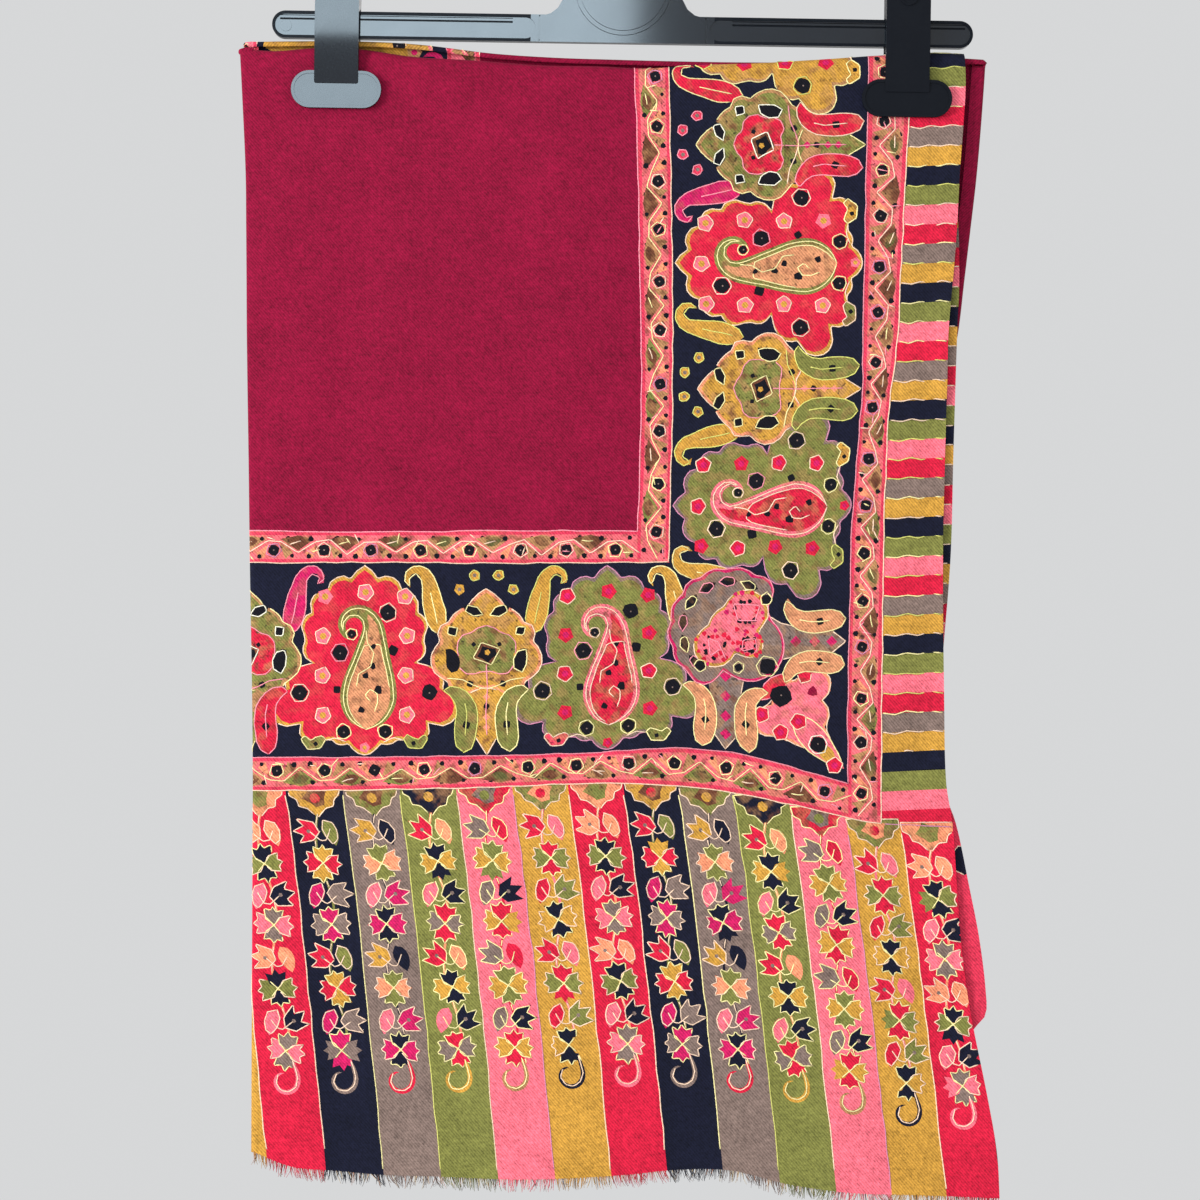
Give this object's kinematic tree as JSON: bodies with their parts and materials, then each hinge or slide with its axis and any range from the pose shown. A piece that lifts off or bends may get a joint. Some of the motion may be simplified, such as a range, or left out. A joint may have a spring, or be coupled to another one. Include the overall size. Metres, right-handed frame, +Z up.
{
  "type": "folded shawl on a clip hanger",
  "caption": "Printed and embroidered wool shawl, folded flat and hung by its top edge in the clips of a plastic hanger with a wire hook.",
  "frame": {"origin": "inside top of the hook's bow, where a rail carries the hanger", "axes": "+Z up along the hang, +X to the viewer's right, the shawl's front faces -Y"},
  "size_m": [0.3799, 0.0186, 0.7151],
  "materials": {
    "shawl_print": "fine wool twill with a many-coloured floral print, outlined in thread",
    "shawl_field": "fine wool twill, crimson, soft dull sheen",
    "fringe": "ravelled wool ends in the colours of the stripes",
    "hanger_plastic": "moulded black, glossy",
    "clip_plastic": "moulded black, satin",
    "hook_wire": "bright plated steel wire"
  },
  "bodies": {
    "root": {"front_fall": "shawl_print", "under_fall": "shawl_print", "core_layers": "shawl_field", "back_fall": "shawl_field", "front_fringe": "fringe", "under_fringe": "fringe", "hanger_body": "hanger_plastic", "hanger_hook": "hook_wire", "left_clip_front_jaw": "clip_plastic", "left_clip_back_jaw": "clip_plastic", "left_clip_saddle": "clip_plastic", "right_clip_front_jaw": "clip_plastic", "right_clip_back_jaw": "clip_plastic", "right_clip_saddle": "clip_plastic"}
  },
  "joints": []
}
